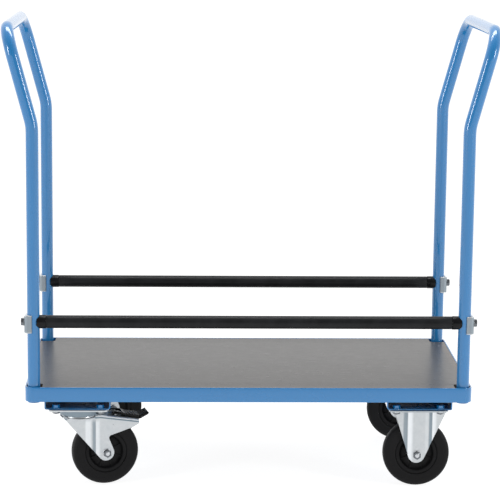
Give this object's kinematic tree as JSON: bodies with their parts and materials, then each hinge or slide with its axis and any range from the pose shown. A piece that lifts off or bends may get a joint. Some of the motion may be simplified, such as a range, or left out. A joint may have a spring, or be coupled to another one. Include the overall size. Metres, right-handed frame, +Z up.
{
  "type": "platform cart",
  "caption": "Platform cart with a rimmed board deck, a bent tube push handle at each end, sleeved side bars between them, fixed castors and braked swivel castors.",
  "frame": {"origin": "on the floor under the middle of the deck, at the centre of the bottom of the bounding box", "axes": "+X along the deck towards the fixed castors, +Y across the deck to the rear long side, +Z up"},
  "size_m": [1.164, 0.55, 1.1045],
  "materials": {
    "blue_paint": "glossy blue powder coat",
    "deck_laminate": "grey laminated board, satin",
    "bar_sleeve": "black extruded plastic, satin gloss",
    "black_plastic": "black moulded plastic",
    "rim_plastic": "black moulded plastic, matt",
    "tyre_rubber": "black solid rubber, matt",
    "zinc": "bright zinc plated pressed steel",
    "fastener_steel": "zinc plated fasteners and plain steel"
  },
  "bodies": {
    "cart": {"rim_rail_front": "blue_paint", "rim_rail_right": "blue_paint", "rim_rail_rear": "blue_paint", "rim_rail_left": "blue_paint", "rim_corner_front_left": "blue_paint", "rim_corner_front_right": "blue_paint", "rim_corner_rear_right": "blue_paint", "rim_corner_rear_left": "blue_paint", "cross_channel_left": "blue_paint", "cross_channel_right": "blue_paint", "push_handle_left": "blue_paint", "push_handle_right": "blue_paint", "deck_board": "deck_laminate", "side_bar_sleeve_front": "bar_sleeve", "side_bar_sleeve_rear": "bar_sleeve", "bar_cap_front_left": "black_plastic", "bar_cap_front_right": "black_plastic", "bar_cap_rear_left": "black_plastic", "bar_cap_rear_right": "black_plastic", "bar_saddle_front_left": "zinc", "bar_saddle_front_right": "zinc", "bar_saddle_rear_left": "zinc", "bar_saddle_rear_right": "zinc", "fixed_fork_front": "zinc", "fixed_fork_rear": "zinc", "swivel_plate_front": "zinc", "swivel_plate_rear": "zinc", "axle_bolt_front_right": "fastener_steel", "axle_bolt_rear_right": "fastener_steel", "bar_bolt_front_left": "fastener_steel", "bar_bolt_front_right": "fastener_steel", "bar_bolt_rear_left": "fastener_steel", "bar_bolt_rear_right": "fastener_steel", "kingpin_front": "fastener_steel", "kingpin_rear": "fastener_steel", "side_bar_core_front": "fastener_steel", "side_bar_core_rear": "fastener_steel"},
    "swivel_front": {"swivel_fork_front": "zinc", "axle_bolt_front_left": "fastener_steel", "pedal_pin_front": "fastener_steel"},
    "brake_front": {"brake_pedal_front": "black_plastic", "brake_shoe_front": "fastener_steel"},
    "wheel_front_left": {"tyre_front_left": "tyre_rubber", "wheel_rim_front_left": "rim_plastic"},
    "wheel_front_right": {"tyre_front_right": "tyre_rubber", "wheel_rim_front_right": "rim_plastic"},
    "swivel_rear": {"swivel_fork_rear": "zinc", "axle_bolt_rear_left": "fastener_steel", "pedal_pin_rear": "fastener_steel"},
    "brake_rear": {"brake_pedal_rear": "black_plastic", "brake_shoe_rear": "fastener_steel"},
    "wheel_rear_left": {"tyre_rear_left": "tyre_rubber", "wheel_rim_rear_left": "rim_plastic"},
    "wheel_rear_right": {"tyre_rear_right": "tyre_rubber", "wheel_rim_rear_right": "rim_plastic"}
  },
  "joints": [
    {"name": "castor_swivel_front", "type": "hinge", "parent": "cart", "child": "swivel_front", "pos_m": [-0.404, -0.213, 0.175], "axis": [0, 0, 1], "continuous": true},
    {"name": "wheel_spin_front_left", "type": "hinge", "parent": "swivel_front", "child": "wheel_front_left", "pos_m": [-0.34359, -0.19905, 0.08], "axis": [-0.225, 0.9744, 0], "continuous": true},
    {"name": "brake_pedal_lift_front", "type": "hinge", "parent": "swivel_front", "child": "brake_front", "pos_m": [-0.32215, -0.1941, 0.171], "axis": [0.225, -0.9744, 0], "range_deg": [0, 14]},
    {"name": "wheel_spin_front_right", "type": "hinge", "parent": "cart", "child": "wheel_front_right", "pos_m": [0.404, -0.213, 0.08], "axis": [0, 1, 0], "continuous": true},
    {"name": "castor_swivel_rear", "type": "hinge", "parent": "cart", "child": "swivel_rear", "pos_m": [-0.404, 0.213, 0.175], "axis": [0, 0, 1], "continuous": true},
    {"name": "wheel_spin_rear_left", "type": "hinge", "parent": "swivel_rear", "child": "wheel_rear_left", "pos_m": [-0.34359, 0.22695, 0.08], "axis": [-0.225, 0.9744, 0], "continuous": true},
    {"name": "brake_pedal_lift_rear", "type": "hinge", "parent": "swivel_rear", "child": "brake_rear", "pos_m": [-0.32215, 0.2319, 0.171], "axis": [0.225, -0.9744, 0], "range_deg": [0, 14]},
    {"name": "wheel_spin_rear_right", "type": "hinge", "parent": "cart", "child": "wheel_rear_right", "pos_m": [0.404, 0.213, 0.08], "axis": [0, 1, 0], "continuous": true}
  ]
}
